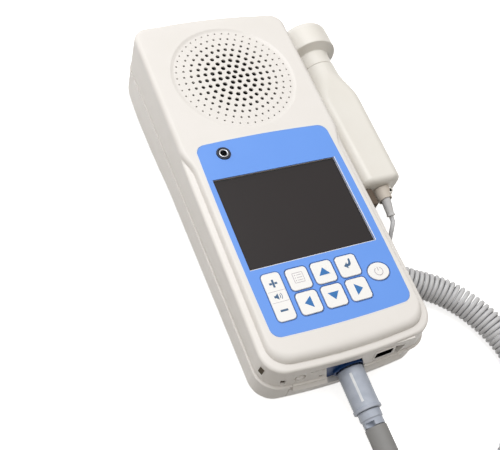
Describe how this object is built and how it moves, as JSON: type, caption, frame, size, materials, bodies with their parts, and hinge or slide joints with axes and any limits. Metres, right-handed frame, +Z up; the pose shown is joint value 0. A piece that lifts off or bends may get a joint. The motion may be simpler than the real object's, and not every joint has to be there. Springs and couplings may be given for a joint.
{
  "type": "fetal doppler monitor",
  "caption": "Table-top fetal doppler with a screen, keys, loudspeaker, plugged curly lead and a hand-held probe parked in a side holder.",
  "frame": {"origin": "on the table, under the middle of the housing with its parked probe, cords left aside", "axes": "+Z up from the table, +Y towards the loudspeaker end, +X towards the probe side; the front face leans back by 4.6 degrees"},
  "size_m": [0.1511, 0.3217, 0.0521],
  "materials": {
    "shell_plastic": "fine satin moulded, warm ivory",
    "overlay_film": "satin printed film, sky blue",
    "key_plastic": "smooth white",
    "window_plastic": "smoked, clear gloss",
    "display_frame": "folded sheet frame",
    "dome_film": "thin film with metal domes",
    "circuit_board": "green solder mask",
    "chip_plastic": "moulded package",
    "collar_plastic": "moulded navy",
    "socket_metal": "nickel plated",
    "socket_body": "moulded black",
    "insert_plastic": "moulded deep blue",
    "gasket_foam": "closed-cell foam",
    "basket_metal": "black pressed steel",
    "cone_paper": "coated paper",
    "magnet_metal": "plated",
    "screw_steel": "zinc plated",
    "cell_casing": "bare dark sleeve",
    "foot_rubber": "soft dark grey",
    "label_film": "bare pale film",
    "face_plastic": "smooth contact face",
    "transducer_disc": "plated ceramic disc",
    "boot_rubber": "moulded grey",
    "holder_plastic": "moulded ivory",
    "plug_plastic": "satin blue grey",
    "cord_jacket": "satin light grey"
  },
  "bodies": {
    "base": {"front_shell": "shell_plastic", "rear_shell": "shell_plastic", "overlay_panel": "overlay_film", "display_lens": "window_plastic", "display_module": "display_frame", "key_dome_sheet": "dome_film", "key_board": "circuit_board", "main_board": "circuit_board", "processor": "chip_plastic", "jack_collar": "collar_plastic", "jack_sleeve": "socket_metal", "plug_nose": "socket_metal", "battery_contact_strip_1": "socket_metal", "battery_contact_strip_2": "socket_metal", "jack_body": "socket_body", "data_port": "socket_body", "socket_insert": "insert_plastic", "speaker_gasket": "gasket_foam", "speaker_basket": "basket_metal", "speaker_cone": "cone_paper", "speaker_magnet": "magnet_metal", "shell_screw_1": "screw_steel", "shell_screw_2": "screw_steel", "shell_screw_3": "screw_steel", "shell_screw_4": "screw_steel", "battery_cell_1": "cell_casing", "battery_cell_2": "cell_casing", "battery_cell_3": "cell_casing", "battery_cell_4": "cell_casing", "rubber_foot_1": "foot_rubber", "rubber_foot_2": "foot_rubber", "rubber_foot_3": "foot_rubber", "rubber_foot_4": "foot_rubber", "bare_label": "label_film", "plug_relief": "boot_rubber", "probe_holder": "holder_plastic", "plug_barrel": "plug_plastic", "plug_sleeve": "plug_plastic", "curly_cord": "cord_jacket", "probe_cable": "cord_jacket", "plug_lead": "cord_jacket"},
    "key_menu_cap": {"key_menu": "key_plastic"},
    "key_up_cap": {"key_up": "key_plastic"},
    "key_enter_cap": {"key_enter": "key_plastic"},
    "key_left_cap": {"key_left": "key_plastic"},
    "key_down_cap": {"key_down": "key_plastic"},
    "key_right_cap": {"key_right": "key_plastic"},
    "key_power_cap": {"key_power": "key_plastic"},
    "volume_rocker_cap": {"volume_rocker": "key_plastic"},
    "battery_lid": {"battery_door": "shell_plastic"},
    "probe": {"probe_head": "shell_plastic", "probe_face": "face_plastic", "probe_transducer": "transducer_disc", "probe_grip_front": "shell_plastic", "probe_grip_rear": "shell_plastic", "probe_board": "circuit_board", "probe_gland": "shell_plastic", "probe_boot": "boot_rubber"}
  },
  "joints": [
    {"name": "key_menu_press", "type": "slide", "parent": "base", "child": "key_menu_cap", "axis": [0, 0.0802, -0.9968], "range_m": [0, 0.0005], "stiffness_N_per_m": 300},
    {"name": "key_up_press", "type": "slide", "parent": "base", "child": "key_up_cap", "axis": [0, 0.0802, -0.9968], "range_m": [0, 0.0005], "stiffness_N_per_m": 300},
    {"name": "key_enter_press", "type": "slide", "parent": "base", "child": "key_enter_cap", "axis": [0, 0.0802, -0.9968], "range_m": [0, 0.0005], "stiffness_N_per_m": 300},
    {"name": "key_left_press", "type": "slide", "parent": "base", "child": "key_left_cap", "axis": [0, 0.0802, -0.9968], "range_m": [0, 0.0005], "stiffness_N_per_m": 300},
    {"name": "key_down_press", "type": "slide", "parent": "base", "child": "key_down_cap", "axis": [0, 0.0802, -0.9968], "range_m": [0, 0.0005], "stiffness_N_per_m": 300},
    {"name": "key_right_press", "type": "slide", "parent": "base", "child": "key_right_cap", "axis": [0, 0.0802, -0.9968], "range_m": [0, 0.0005], "stiffness_N_per_m": 300},
    {"name": "key_power_press", "type": "slide", "parent": "base", "child": "key_power_cap", "axis": [0, 0.0802, -0.9968], "range_m": [0, 0.0005], "stiffness_N_per_m": 300},
    {"name": "volume_rocker_tilt", "type": "hinge", "parent": "base", "child": "volume_rocker_cap", "pos_m": [-0.0451, -0.0721, 0.036], "axis": [1, 0, 0], "range_deg": [-2.5, 2.5], "stiffness_Nm_per_rad": 0.4},
    {"name": "battery_lid_slide", "type": "slide", "parent": "base", "child": "battery_lid", "axis": [0, -0.9999, -0.0154], "range_m": [0, 0.014]},
    {"name": "probe_lift", "type": "slide", "parent": "base", "child": "probe", "axis": [0, -0.0802, 0.9968], "range_m": [0, 0.04]}
  ]
}
